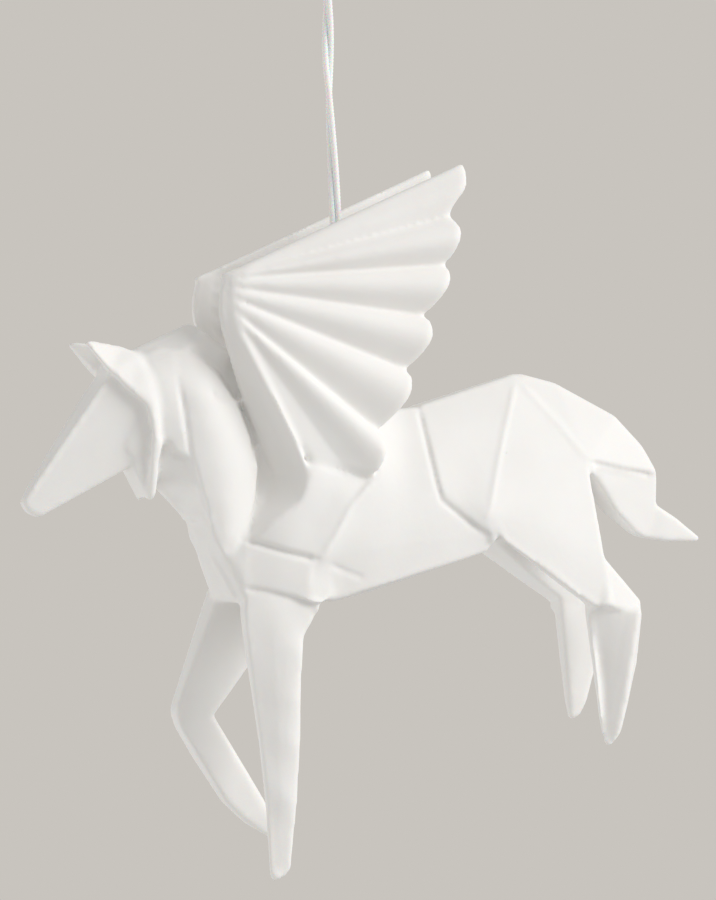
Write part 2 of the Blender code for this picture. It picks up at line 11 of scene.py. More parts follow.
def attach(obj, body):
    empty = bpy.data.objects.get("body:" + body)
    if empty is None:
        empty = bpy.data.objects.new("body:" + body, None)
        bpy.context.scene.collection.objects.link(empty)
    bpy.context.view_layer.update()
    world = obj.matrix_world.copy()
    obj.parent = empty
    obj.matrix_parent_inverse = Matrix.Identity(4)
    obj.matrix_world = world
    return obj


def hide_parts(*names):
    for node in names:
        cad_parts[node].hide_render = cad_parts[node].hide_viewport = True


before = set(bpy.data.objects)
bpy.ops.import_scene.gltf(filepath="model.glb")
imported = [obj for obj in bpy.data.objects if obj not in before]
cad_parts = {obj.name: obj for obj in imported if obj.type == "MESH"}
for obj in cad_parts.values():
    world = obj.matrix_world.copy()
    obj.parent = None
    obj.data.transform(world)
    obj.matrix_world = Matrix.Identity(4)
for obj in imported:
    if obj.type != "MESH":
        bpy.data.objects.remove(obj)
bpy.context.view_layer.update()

MM = 0.001
HOOK_ABOVE_EYE = 76.0


def at(along, out, up):
    """Metres in the scene, from millimetres along the horse, out to the near side, up from the eye."""
    return Vector((along * MM, -out * MM, (up - HOOK_ABOVE_EYE) * MM))


def new_object(name, data):
    made = bpy.data.objects.new(name, data)
    bpy.context.scene.collection.objects.link(made)
    return made


def mesh_of(work, name):
    """The mesh that some work makes, with the work then freed."""
    made = bpy.data.meshes.new(name)
    work.to_mesh(made)
    work.free()
    return made


# Camera: level with the figurine on its near side, 17 degrees round towards its head and
# rolled two degrees, with a long lens from a metre away.
CAMERA_DISTANCE = 1.0
HALF_VIEW_SLOPE = 0.07272
target = at(2.41, 0.0, -8.16)
azimuth = math.radians(-17.0)
roll = math.radians(-2.0)
camera_data = bpy.data.cameras.new("camera")
camera_data.sensor_width = 36.0
camera_data.lens = camera_data.sensor_width / 2 / HALF_VIEW_SLOPE
camera_data.clip_start = 0.05
camera_data.clip_end = 20.0
camera = new_object("camera", camera_data)
upright = Matrix.Rotation(math.pi / 2, 4, "X")
turned = Matrix.Rotation(azimuth, 4, "Z") @ upright @ Matrix.Rotation(roll, 4, "Z")
backwards = Vector((math.sin(azimuth), -math.cos(azimuth), 0.0))
camera.matrix_world = Matrix.Translation(target + backwards * CAMERA_DISTANCE) @ turned
bpy.context.scene.camera = camera


# Cord: soft white cotton cord of three twisted plies, about 1 mm thick. It runs from the
# knot down through the eye on the back and up again, so that two strands show side by side.
CORD_DIAMETER = 1.04
PLIES = 3
PLY_VALLEY = 0.87
PLY_HEIGHT = 0.15
TURN_OF_PLIES = 1.75
POINTS_ROUND = 18
CORD_STEP = 0.11 * MM
# Under the eye's bar the cord turns back on a half circle of this middle and radius.
BAR_MIDDLE = 2.15
TURN_RADIUS = 1.525
# Height above the eye, half the distance between the strands, how far the pair is twisted
# in degrees, and how far it leans back along the horse.
STRAND = [
    (68.8, 0.45, 270.0, 0.0),
    (64.0, 0.45, 258.0, -0.05),
    (60.5, 0.45, 226.0, -0.15),
    (57.0, 0.45, 188.0, -0.3),
    (53.5, 0.45, 150.0, -0.38),
    (50.0, 0.45, 112.0, -0.38),
    (46.5, 0.45, 88.0, -0.34),
    (43.0, 0.45, 72.0, -0.26),
    (38.0, 0.45, 50.0, -0.14),
    (32.0, 0.45, 26.0, -0.04),
    (26.0, 0.46, 6.0, 0.0),
    (20.0, 0.68, 0.0, 0.0),
    (13.0, 1.0, 0.0, 0.0),
    (6.0, 1.32, 0.0, 0.0),
]


def cord_route():
    """The cord's middle line, knot to eye to knot."""
    down, up = [], []
    for height, spacing, twist, lean in STRAND:
        a = spacing * math.cos(math.radians(twist))
        o = spacing * math.sin(math.radians(twist))
        down.append(at(lean - a, -o, height))
        up.append(at(lean + a, o, height))
    turn = []
    for step in range(9):
        angle = math.pi + math.pi * step / 8
        height = BAR_MIDDLE + TURN_RADIUS * math.sin(angle)
        turn.append(at(TURN_RADIUS * math.cos(angle), 0.0, height))
    return down + turn + up[::-1]


def smooth_line(points, gap):
    """Points a set distance apart on the smooth curve through some points."""
    p = np.array(points, float)
    p = np.vstack([2 * p[0] - p[1], p, 2 * p[-1] - p[-2]])
    out = []
    for i in range(1, len(p) - 2):
        for t in np.linspace(0, 1, 24, endpoint=False):
            a, b, c, d = p[i - 1], p[i], p[i + 1], p[i + 2]
            bend = (2 * a - 5 * b + 4 * c - d) * t**2
            swing = (3 * b - a - 3 * c + d) * t**3
            out.append(0.5 * (2 * b + (c - a) * t + bend + swing))
    out = np.array(out + [p[-2]])
    along = np.concatenate([[0], np.cumsum(np.linalg.norm(np.diff(out, axis=0), axis=1))])
    at_line = np.linspace(0, along[-1], int(along[-1] / gap) + 1)
    return np.stack([np.interp(at_line, along, out[:, k]) for k in range(3)], axis=1)


def twisted_tube(work, line):
    """The cord along a line: the ring's outline has a lobe for each ply, and turns along the line."""
    layer = work.loops.layers.uv.verify()
    tangents = np.gradient(line, axis=0)
    tangents /= np.linalg.norm(tangents, axis=1)[:, None]
    side = np.cross(tangents[0], (0.31, 0.93, 0.17))
    run = np.concatenate([[0], np.cumsum(np.linalg.norm(np.diff(line, axis=0), axis=1))]) / MM
    rings = []
    for centre, along, s in zip(line, tangents, run):
        side = side - along * side.dot(along)
        side /= np.linalg.norm(side)
        other = np.cross(along, side)
        ring = []
        for k in range(POINTS_ROUND):
            angle = math.tau * k / POINTS_ROUND
            lobe = abs(math.cos(PLIES / 2 * (angle - math.tau * s / TURN_OF_PLIES)))
            radius = CORD_DIAMETER * MM / 2 * (PLY_VALLEY + PLY_HEIGHT * lobe**0.8)
            ring.append(work.verts.new(centre + radius * (side * math.cos(angle) + other * math.sin(angle))))
        rings.append(ring)
    for row, (low, high) in enumerate(zip(rings, rings[1:])):
        for k in range(POINTS_ROUND):
            j = (k + 1) % POINTS_ROUND
            face = work.faces.new((low[k], low[j], high[j], high[k]))
            face.smooth = True
            for loop, u, v in zip(face.loops, (k, k + 1, k + 1, k), (row, row, row + 1, row + 1)):
                loop[layer].uv = (u / POINTS_ROUND, v * run[1])
    work.faces.new(rings[0][::-1])
    work.faces.new(rings[-1])


def cord_material():
    made = bpy.data.materials.new("cotton_cord")
    made.use_nodes = True
    nodes, links = made.node_tree.nodes, made.node_tree.links
    shader = nodes["Principled BSDF"]
    shader.inputs["Roughness"].default_value = 0.85
    shader.inputs["Sheen Weight"].default_value = 0.6
    shader.inputs["Sheen Roughness"].default_value = 0.5
    shader.inputs["Subsurface Weight"].default_value = 0.5
    shader.inputs["Subsurface Scale"].default_value = 0.0012
    place = nodes.new("ShaderNodeTexCoord")
    fibres = nodes.new("ShaderNodeTexNoise")
    fibres.inputs["Scale"].default_value = 9000.0
    fibres.inputs["Detail"].default_value = 3.0
    links.new(place.outputs["Object"], fibres.inputs["Vector"])
    ramp = nodes.new("ShaderNodeValToRGB")
    ramp.color_ramp.elements[0].position = 0.3
    ramp.color_ramp.elements[0].color = (0.93, 0.92, 0.90, 1)
    ramp.color_ramp.elements[1].position = 0.7
    ramp.color_ramp.elements[1].color = (0.98, 0.975, 0.96, 1)
    links.new(fibres.outputs["Fac"], ramp.inputs["Fac"])
    links.new(ramp.outputs["Color"], shader.inputs["Base Color"])
    bump = nodes.new("ShaderNodeBump")
    bump.inputs["Strength"].default_value = 0.5
    bump.inputs["Distance"].default_value = 0.00003
    links.new(fibres.outputs["Fac"], bump.inputs["Height"])
    links.new(bump.outputs["Normal"], shader.inputs["Normal"])
    return made


cotton = cord_material()
route = smooth_line(cord_route(), CORD_STEP)
work = bmesh.new()
twisted_tube(work, route)
cord_mesh = mesh_of(work, "hanging_cord_twisted")
cord_mesh.materials.append(cotton)
cord = new_object("hanging_cord_twisted", cord_mesh)
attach(cord, "root")
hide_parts("hanging_cord")


# Knot: the same cord, wound in a barrel of three turns round both strands, with the
# small loop above it that goes over the hook.
KNOT_MIDDLE = HOOK_ABOVE_EYE - 5.1
KNOT_TURNS = 3
KNOT_RADIUS = 1.32
KNOT_HALF_HEIGHT = 1.15
CORE_HALF_GAP = 0.42
LOOP_RADIUS = 1.4
STEPS_A_TURN = 24
work = bmesh.new()
coil = []
for step in range(KNOT_TURNS * STEPS_A_TURN + 1):
    angle = math.tau * step / STEPS_A_TURN
    height = KNOT_MIDDLE + KNOT_HALF_HEIGHT * (2 * step / (KNOT_TURNS * STEPS_A_TURN) - 1)
    coil.append(at(KNOT_RADIUS * math.cos(angle), KNOT_RADIUS * math.sin(angle), height))
coil = [at(0.35, 0.1, KNOT_MIDDLE - 1.25)] + coil + [at(0.4, -0.2, KNOT_MIDDLE + 1.25)]
twisted_tube(work, smooth_line(coil, CORD_STEP))
for shift in (-CORE_HALF_GAP, CORE_HALF_GAP):
    core = [at(shift, 0.0, KNOT_MIDDLE + height) for height in (-1.75, 0.0, 1.6)]
    twisted_tube(work, smooth_line(core, CORD_STEP))
loop_middle = HOOK_ABOVE_EYE - 1.075
hoop = [at(-CORE_HALF_GAP, 0.0, KNOT_MIDDLE + 0.8), at(-0.55, 0.0, KNOT_MIDDLE + 1.7)]
for step in range(13):
    angle = math.pi * (1.0 - step / 12)
    hoop.append(at(LOOP_RADIUS * math.cos(angle), 0.0, loop_middle + LOOP_RADIUS * math.sin(angle)))
hoop += [at(0.55, 0.0, KNOT_MIDDLE + 1.7), at(CORE_HALF_GAP, 0.0, KNOT_MIDDLE + 0.8)]
twisted_tube(work, smooth_line(hoop, CORD_STEP))
knot_mesh = mesh_of(work, "cord_knot_wound")
knot_mesh.materials.append(cotton)
knot = new_object("cord_knot_wound", knot_mesh)
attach(knot, "root")
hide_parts("cord_knot")


# Body: slip-cast white porcelain, fired without glaze. The casting is one hollow piece,
# its folds softened by the slip, and sponged smooth before the firing.
def evaluated(source):
    graph = bpy.context.evaluated_depsgraph_get()
    return bpy.data.meshes.new_from_object(source.evaluated_get(graph))


def voxel_skin(mesh, size):
    """One closed even skin round all the shells of a mesh."""
    rough = new_object("rough", mesh)
    remesh = rough.modifiers.new("skin", "REMESH")
    remesh.mode = "VOXEL"
    remesh.voxel_size = size
    remesh.adaptivity = 0.0
    out = evaluated(rough)
    bpy.data.objects.remove(rough, do_unlink=True)
    return out


def neighbours(mesh):
    edges = np.empty(len(mesh.edges) * 2, np.int32)
    mesh.edges.foreach_get("vertices", edges)
    return edges.reshape(-1, 2)


def relax(co, edges, count, times, pull=0.5, back=-0.52, weight=None):
    """Smooth the points along their edges, and keep the volume by pushing back each time."""
    a, b = edges[:, 0], edges[:, 1]
    share = np.bincount(a, minlength=count) + np.bincount(b, minlength=count)
    share = np.maximum(share, 1)[:, None]
    for _ in range(times):
        for factor in (pull, back):
            total = np.stack(
                [
                    np.bincount(a, co[b, k], minlength=count) + np.bincount(b, co[a, k], minlength=count)
                    for k in range(3)
                ],
                axis=1,
            )
            step = factor * (total / share - co)
            co = co + (step if weight is None else step * weight[:, None])
    return co


# Fan of each wing. Every row is a fold: its root and tip (along, up), and how far the edge of
# the pleat above it bulges. Between two folds the clay arches out, more towards the tip.
WING_OUT = 9.8
FOLDS = [
    ((-18.8, 21.0), (16.5, 29.0), 0.0),
    ((-19.0, 19.9), (15.4, 21.2), 1.3),
    ((-19.4, 18.2), (11.4, 13.1), 1.3),
    ((-19.8, 16.4), (8.1, 4.5), 1.9),
    ((-19.8, 14.3), (3.0, -5.1), 1.9),
    ((-19.3, 11.8), (-8.4, -9.9), 0.0),
]
RISE_AT_ROOT = 0.45
RISE_AT_TIP = 2.55
BAND_STEPS = 12
PER_PLEAT = 16
ALONG = 64


def fan_columns():
    """Root, tip, rise at the root and at the tip, of every line of the fan, top band first."""
    columns = [((-20.2, 21.1), (19.1, 37.55), -0.7, -0.3)]
    for k in range(1, BAND_STEPS):
        s = k / BAND_STEPS
        root = (-20.2 + 1.4 * s, 21.0)
        scallop = 1.2 * math.sin(math.pi * min(1.0, s * 1.15)) * (1 - s * 0.3)
        tip = (19.1 - 2.6 * s + scallop, 37.4 - 8.4 * s)
        columns.append((root, tip, -0.7 + 0.7 * s**0.5, -0.3 * (1 - s) + math.sin(math.pi * s) ** 1.5))
    for index, ((root_a, tip_a, _), (root_b, tip_b, bulge)) in enumerate(zip(FOLDS, FOLDS[1:])):
        columns.append((root_a, tip_a, 0.0, 0.0))
        last = index == len(FOLDS) - 2
        for k in range(1, PER_PLEAT):
            s = k / PER_PLEAT
            arch = math.sin(math.pi * s**0.9)
            root = [p + (q - p) * s for p, q in zip(root_a, root_b)]
            tip = [p + (q - p) * s for p, q in zip(tip_a, tip_b)]
            if last:
                drop = min(1.0, s * 1.5)
                side = max(0.0, (s - 0.667) / 0.333)
                tip = [p + (q - p) * drop for p, q in zip(tip_a, (1.7, -12.5))]
                tip = [p + (q - p) * side for p, q in zip(tip, tip_b)]
                tip[0] += 1.1 * math.sin(math.pi * min(1.0, s * 1.5))
                arch = math.sin(math.pi * min(1.0, 1.22 * s**0.9))
            else:
                tip[0] += bulge * math.sin(math.pi * s**0.8)
            columns.append((root, tip, RISE_AT_ROOT * arch, RISE_AT_TIP * arch))
    columns.append((FOLDS[-1][0], FOLDS[-1][1], 0.0, 0.0))
    return columns


def arc(root, tip, rise_root, rise_tip, t):
    """A point of a line of the fan: the rise grows from the bend to the edge."""
    rise = rise_root + (rise_tip - rise_root) * max(0.0, t) ** 0.9
    return root[0] + (tip[0] - root[0]) * t, rise, root[1] + (tip[1] - root[1]) * t


# Leading strip of the wing, from the top of the bend down to the shoulder: rim and inner
# line, each point as along, out, up.
STRIP = [
    ((-20.6, 8.9, 21.2), (-18.2, 9.6, 21.6)),
    ((-21.7, 9.0, 19.4), (-18.8, 9.8, 20.2)),
    ((-22.3, 9.0, 16.8), (-19.5, 10.1, 17.4)),
    ((-22.2, 8.8, 13.8), (-19.6, 10.4, 14.2)),
    ((-21.4, 8.2, 10.4), (-19.0, 10.6, 11.0)),
    ((-20.2, 7.2, 6.8), (-17.0, 10.9, 6.8)),
    ((-18.3, 5.8, 1.4), (-14.5, 11.1, 1.6)),
    ((-16.2, 4.8, -4.2), (-11.7, 11.2, -4.4)),
    ((-14.1, 4.4, -9.2), (-9.4, 11.0, -9.8)),
    ((-12.2, 4.6, -14.0), (-8.6, 10.5, -14.6)),
]


STRIP_ROWS = 60
STRIP_STEPS = 12


def sheet_block(work, outer, inner):
    """A closed block between two matching grids of points."""
    grids = [[[work.verts.new(p) for p in row] for row in grid] for grid in (outer, inner)]
    front, rear = grids
    rows, steps = len(front), len(front[0])
    for i in range(rows - 1):
        for k in range(steps - 1):
            work.faces.new((front[i][k], front[i][k + 1], front[i + 1][k + 1], front[i + 1][k]))
            work.faces.new((rear[i][k], rear[i + 1][k], rear[i + 1][k + 1], rear[i][k + 1]))
    for k in range(steps - 1):
        work.faces.new((front[0][k], rear[0][k], rear[0][k + 1], front[0][k + 1]))
        work.faces.new((front[-1][k], front[-1][k + 1], rear[-1][k + 1], rear[-1][k]))
    for i in range(rows - 1):
        work.faces.new((front[i][0], front[i + 1][0], rear[i + 1][0], rear[i][0]))
        work.faces.new((front[i][-1], rear[i][-1], rear[i + 1][-1], front[i + 1][-1]))


def fine_wings():
    """Both wings, each as the block of its fan and the block of its leading strip."""
    work = bmesh.new()
    for side in (1, -1):
        outer, inner = [], []
        for root, tip, rise_root, rise_tip in fan_columns():
            row_out, row_in = [], []
            for k in range(-3, ALONG + 1):
                t = k / ALONG
                a, o, u = arc(root, tip, rise_root, rise_tip, t)
                wall = 2.1 - 0.6 * t
                rounding = 0.35 * max(0.0, (t - 0.975) / 0.025)
                dive = 0.25 * max(0, -k)
                row_out.append(at(a, (WING_OUT + o - dive - rounding) * side, u))
                row_in.append(at(a, (WING_OUT + min(o, 0.15 + 3.0 * t) - wall + rounding) * side, u))
            outer.append(row_out)
            inner.append(row_in)
        sheet_block(work, outer, inner)
        rim, back = [], []
        lines = [smooth_line([at(*p[j]) for p in STRIP], 0.35 * MM) for j in (0, 1)]
        for k in range(STRIP_ROWS):
            pair = [line[round(k / (STRIP_ROWS - 1) * (len(line) - 1))] for line in lines]
            row_out, row_in = [], []
            for j in range(STRIP_STEPS + 1):
                s = j / STRIP_STEPS
                spot = pair[0] + (pair[1] - pair[0]) * s
                out = -spot[1] / MM
                fading = min(1.0, max(0.0, (26 - k) / 20))
                groove = -0.55 * math.exp(-(((s - 0.32) / 0.14) ** 2)) * fading
                edge = -0.5 * max(0.0, 1 - s / 0.1) ** 2 - 0.5 * max(0.0, (s - 0.75) / 0.25) ** 2
                row_out.append(Vector((spot[0], -(out + groove + edge) * side * MM, spot[2])))
                row_in.append(Vector((spot[0], -(min(out, 9.2) - 1.9) * side * MM, spot[2])))
            rim.append(row_out)
            back.append(row_in)
        sheet_block(work, rim, back)
    bmesh.ops.recalc_face_normals(work, faces=work.faces)
    return work


# Relief of the two sides, for the folds that the plain blocks of the frame only sketch.
# Each patch is its outline and some points inside: along, out, up, in millimetres. Points
# less than PATCH_RIM outside an outline still follow it in part.
PATCH_RIM = 0.6
RELIEF = {
    "under_wing": (
        [
            (-15.6, 8.0, 1.1), (9.1, 8.8, 0.2), (3.3, 8.8, -5.7), (2.1, 8.8, -13.0), (-7.1, 8.8, -10.5),
            (-9.0, 8.8, -11.1), (-10.4, 8.2, -9.8), (-12.8, 8.0, -4.4),
        ],
        [],
    ),
    "barrel": (
        [
            (2.9, 6.6, -3.4), (8.3, 3.6, -2.1), (11.9, 3.0, -1.1), (12.0, 5.5, -5.3), (12.2, 7.6, -9.4),
            (12.6, 9.0, -13.4), (13.3, 9.6, -16.7), (16.5, 9.9, -19.5), (21.1, 9.9, -22.6),
            (20.5, 9.4, -25.3), (12.5, 9.8, -27.1), (5.7, 9.9, -28.9), (-1.1, 9.9, -30.5),
            (-5.8, 9.7, -32.0), (-6.5, 10.7, -26.0), (-7.4, 11.5, -25.0), (-5.5, 11.5, -22.1),
            (-2.6, 11.0, -17.4), (0.7, 10.4, -13.8), (2.5, 9.5, -9.9), (3.0, 8.2, -6.7),
        ],
        [
            (7.3, 7.2, -8.4), (6.5, 9.0, -13.2), (5.9, 10.2, -19.6), (0.6, 10.7, -22.6),
            (12.5, 10.2, -23.1), (2.2, 10.4, -17.1),
        ],
    ),
    "haunch_front": (
        [
            (12.0, 2.8, -1.1), (11.9, 5.6, -5.3), (12.1, 7.8, -9.4), (12.5, 9.2, -13.4),
            (13.2, 9.8, -16.7), (16.4, 10.2, -19.5), (20.1, 10.5, -22.1), (20.5, 11.0, -19.3),
            (23.1, 8.5, -12.2), (25.5, 6.0, -5.8), (27.6, 3.8, -0.9), (29.1, 1.9, 2.6),
            (22.9, 2.0, 1.9), (17.6, 2.4, 0.5),
        ],
        [(17.6, 6.6, -7.1), (18.0, 8.9, -13.6)],
    ),
    "haunch_rear": (
        [
            (29.1, 1.9, 2.6), (27.6, 3.8, -0.9), (25.5, 6.0, -5.8), (23.1, 8.5, -12.2),
            (20.5, 11.0, -19.3), (20.8, 10.6, -23.0), (25.8, 10.6, -26.8), (31.6, 10.4, -31.5),
            (37.2, 10.1, -35.3), (39.3, 10.1, -34.7), (40.8, 9.5, -29.0), (40.4, 9.2, -26.7),
            (40.5, 8.2, -20.9), (40.3, 7.2, -16.0), (40.1, 6.3, -11.4), (37.6, 5.4, -7.8),
            (34.0, 3.9, -3.1), (31.1, 2.9, 0.1),
        ],
        [(29.4, 6.9, -9.1), (31.8, 8.9, -17.3), (32.9, 9.9, -23.8)],
    ),
    "shoulder": (
        [
            (-9.0, 10.4, -9.5), (-3.6, 9.6, -10.9), (1.4, 9.4, -12.9), (-2.6, 11.0, -17.4),
            (-5.5, 11.5, -22.1), (-7.4, 11.5, -25.0), (-9.3, 11.2, -25.1), (-13.5, 10.4, -24.0),
            (-18.6, 8.2, -22.1), (-15.6, 9.7, -19.1), (-11.5, 10.6, -16.4),
        ],
        [(-8.9, 10.6, -19.9), (-5.8, 10.6, -16.8), (-7.7, 10.6, -13.5), (-2.4, 10.4, -14.8)],
    ),
    "shoulder_front": (
        [
            (-9.1, 10.4, -11.1), (-10.1, 10.5, -15.3), (-15.2, 9.4, -18.8), (-18.6, 8.2, -22.1),
            (-18.0, 5.6, -20.3), (-15.4, 4.6, -16.4), (-13.0, 5.0, -12.2), (-11.6, 7.4, -9.7),
            (-10.3, 9.6, -9.7),
        ],
        [(-11.6, 8.0, -14.2)],
    ),
    "wing_gap": (
        [
            (-26.4, 3.6, 8.4), (-24.1, 3.4, 7.4), (-21.4, 3.2, 5.1), (-18.7, 3.0, 0.8),
            (-16.9, 3.0, -4.0), (-15.6, 3.0, -10.0), (-16.2, 3.4, -15.3), (-17.7, 4.8, -19.5),
            (-18.6, 6.2, -22.4), (-16.0, 4.0, -15.6), (-13.0, 4.2, -12.2), (-10.4, 7.0, -9.8),
            (-12.8, 5.2, -4.4), (-15.6, 4.4, 1.1), (-18.0, 4.4, 7.5), (-20.1, 4.4, 12.3),
            (-21.0, 4.2, 13.4), (-23.8, 3.8, 11.0),
        ],
        [(-18.0, 3.0, 6.9), (-15.5, 3.2, -2.8), (-14.0, 3.4, -9.2)],
    ),
    "panel": (
        [
            (-18.8, 8.1, -22.4), (-13.5, 10.2, -24.3), (-9.3, 11.1, -25.3), (-9.6, 10.7, -32.1),
            (-13.7, 10.2, -31.0), (-20.2, 8.7, -29.5), (-20.4, 8.3, -25.8),
        ],
        [(-14.5, 10.4, -27.5)],
    ),
    "panel_turn": (
        [
            (-9.3, 11.1, -25.3), (-7.7, 11.3, -25.0), (-6.1, 10.4, -26.5), (-5.5, 9.9, -32.0),
            (-7.6, 9.9, -33.8), (-9.6, 10.7, -32.1),
        ],
        [],
    ),
    "foreleg": (
        [
            (-20.0, 8.7, -29.5), (-13.5, 9.6, -31.0), (-8.8, 9.8, -32.2), (-9.7, 9.3, -38.2),
            (-10.8, 8.9, -47.7), (-11.3, 8.6, -54.9), (-12.2, 8.2, -63.7), (-13.2, 7.8, -71.6),
            (-13.9, 7.6, -75.1), (-16.7, 7.1, -74.3), (-16.9, 7.2, -65.9), (-17.6, 7.5, -55.4),
            (-18.4, 7.8, -47.4), (-19.7, 8.5, -36.2),
        ],
        [
            (-15.3, 9.7, -33.5), (-14.7, 9.8, -38.0), (-11.5, 10.1, -39.7), (-12.1, 9.6, -47.7),
            (-12.6, 9.2, -54.8), (-13.5, 8.7, -63.6), (-17.4, 9.0, -37.9),
        ],
    ),
    "hind_leg": (
        [
            (38.8, 7.4, -35.9), (40.0, 6.6, -43.6), (40.7, 6.4, -55.8), (41.4, 7.2, -57.3),
            (42.6, 8.4, -54.7), (44.1, 9.2, -48.6), (45.5, 9.9, -41.3), (46.4, 10.3, -36.0),
            (42.2, 9.0, -36.0),
        ],
        [(42.4, 8.2, -43.7)],
    ),
    "leaf": (
        [
            (-29.3, 4.2, 8.5), (-28.9, 5.8, 4.0), (-28.3, 6.4, -0.8), (-27.7, 6.9, -7.2),
            (-26.4, 7.2, -13.6), (-24.7, 7.2, -19.8), (-22.5, 7.2, -24.6), (-20.6, 7.2, -23.1),
            (-18.0, 6.6, -18.7), (-16.8, 6.2, -14.8), (-16.4, 6.0, -10.0), (-17.4, 5.8, -5.2),
            (-19.1, 5.5, -0.3), (-21.3, 5.0, 3.4), (-24.2, 4.4, 6.7), (-26.7, 4.2, 8.4),
        ],
        [
            (-26.4, 6.8, 1.6), (-25.0, 7.6, -3.4), (-23.4, 8.0, -9.8), (-22.6, 8.1, -16.2),
            (-22.4, 7.9, -20.9), (-24.4, 6.1, 3.4), (-21.6, 6.9, -2.4), (-19.8, 7.3, -9.0),
            (-19.6, 7.4, -14.0),
        ],
    ),
    "throat_side": (
        [
            (-31.4, 1.8, -12.2), (-27.1, 1.8, -17.8), (-24.9, 2.6, -23.0), (-24.0, 6.2, -22.7),
            (-25.7, 6.6, -17.2), (-27.2, 6.2, -11.1), (-28.1, 5.8, -8.5), (-29.6, 5.2, -7.9),
            (-31.0, 4.6, -6.0), (-31.9, 3.4, -9.0),
        ],
        [(-28.6, 4.4, -12.8), (-26.7, 4.8, -18.4)],
    ),
    "neck_flap": (
        [
            (-34.0, 3.2, 8.0), (-31.1, 3.6, 8.9), (-29.3, 4.2, 8.5), (-29.0, 5.9, 4.0),
            (-28.7, 6.6, -0.8), (-28.3, 6.9, -5.6), (-28.3, 6.6, -8.2), (-30.2, 6.2, -7.5),
            (-31.9, 5.8, -4.9), (-32.2, 6.2, 0.1), (-33.1, 5.2, 4.9),
        ],
        [],
    ),
}


# Outline (along, up) in which the frame's steps are melted before the relief.
MELTED = [
    (-16.4, -10.8), (-10.4, -9.7), (0.4, -13.3), (-0.5, -17.0), (-2.7, -23.3), (-6.2, -29.5),
    (-10.5, -31.7), (-12.1, -35.7), (-18.5, -35.4), (-19.7, -31.4), (-19.5, -25.0), (-20.4, -22.6),
    (-22.6, -23.7), (-25.5, -16.9), (-28.6, -13.0), (-31.2, -9.4), (-31.5, -3.4), (-30.9, 3.0),
    (-29.8, 7.0), (-27.4, 6.8), (-24.4, 5.8), (-21.1, 1.8), (-18.5, -3.6),
]
MELT_ROUNDS = 90


def thin_plate(points, values):
    """The smoothest sheet through some values, as a function of the place."""
    p = np.array(points, float)
    d2 = ((p[:, None] - p[None]) ** 2).sum(2)
    kernel = 0.5 * d2 * np.log(np.maximum(d2, 1e-12))
    flat = np.hstack([np.ones((len(p), 1)), p])
    full = np.block([[kernel + 0.02 * np.eye(len(p)), flat], [flat.T, np.zeros((3, 3))]])
    answer = np.linalg.solve(full, np.concatenate([values, np.zeros(3)]))

    def height(q):
        d2 = ((q[:, None] - p[None]) ** 2).sum(2)
        return (0.5 * d2 * np.log(np.maximum(d2, 1e-12))) @ answer[: len(p)] + answer[-3] + q @ answer[-2:]

    return height


def inside(q, outline):
    """Which points lie in an outline."""
    result = np.zeros(len(q), bool)
    for (x0, y0), (x1, y1) in zip(outline, np.roll(outline, -1, axis=0)):
        crosses = (y0 > q[:, 1]) != (y1 > q[:, 1])
        where = (x1 - x0) * (q[:, 1] - y0) / (y1 - y0 if y1 != y0 else 1e-12) + x0
        result ^= crosses & (q[:, 0] < where)
    return result


def from_line(q, a, b):
    """How far points lie from the straight line between two points."""
    d = b - a
    t = np.clip(((q - a) @ d) / (d @ d), 0, 1)
    return np.linalg.norm(q - a - t[:, None] * d, axis=1)


def outside(q, outline):
    """How far points lie outside an outline, less than nothing inside it."""
    least = np.full(len(q), np.inf)
    for a, b in zip(outline, np.roll(outline, -1, axis=0)):
        least = np.minimum(least, from_line(q, a, b))
    return np.where(inside(q, outline), -least, least)


def side_view(co):
    """Where points lie along the horse and up from the eye, in millimetres."""
    return np.stack([co[:, 0] / MM, co[:, 2] / MM + HOOK_ABOVE_EYE], axis=1)


def facing_out(co, normals):
    """How much the skin at each point faces away from the middle plane, from -1 to 1."""
    return np.where(co[:, 1] < 0, -normals[:, 1], normals[:, 1])


def melt(co, edges, count):
    """Smooth away the frame's own steps where the relief comes, but not at the outline."""
    place = side_view(co)
    weight = np.zeros(count)
    weight[inside(place, np.array(MELTED, float))] = 1.0
    a, b = edges[:, 0], edges[:, 1]
    for _ in range(4):
        least = weight.copy()
        np.minimum.at(least, a, weight[b])
        np.minimum.at(least, b, weight[a])
        weight = 0.5 * (weight + least)
    outer = np.abs(co[:, 1]) > 5.0 * MM
    return relax(co, edges, count, MELT_ROUNDS, pull=0.6, back=0.0, weight=weight * outer)


# The far legs stand elsewhere, so their two patches are for the near side only. A patch
# moves the skin by less than the usual depth, or than its own where it is named in DEEP.
NEAR_ONLY = ("foreleg", "hind_leg")
EVENED_TIMES = 3
USUAL_DEPTH = 4.0
DEEP = {"wing_gap": 9.0, "shoulder_front": 7.5, "leaf": 6.0}


def evened(values, edges, count, times):
    """Values at the points, each averaged with those of its neighbours."""
    a, b = edges[:, 0], edges[:, 1]
    share = np.maximum(np.bincount(a, minlength=count) + np.bincount(b, minlength=count), 1)
    for _ in range(times):
        total = np.bincount(a, values[b], minlength=count) + np.bincount(b, values[a], minlength=count)
        values = 0.5 * (values + total / share)
    return values


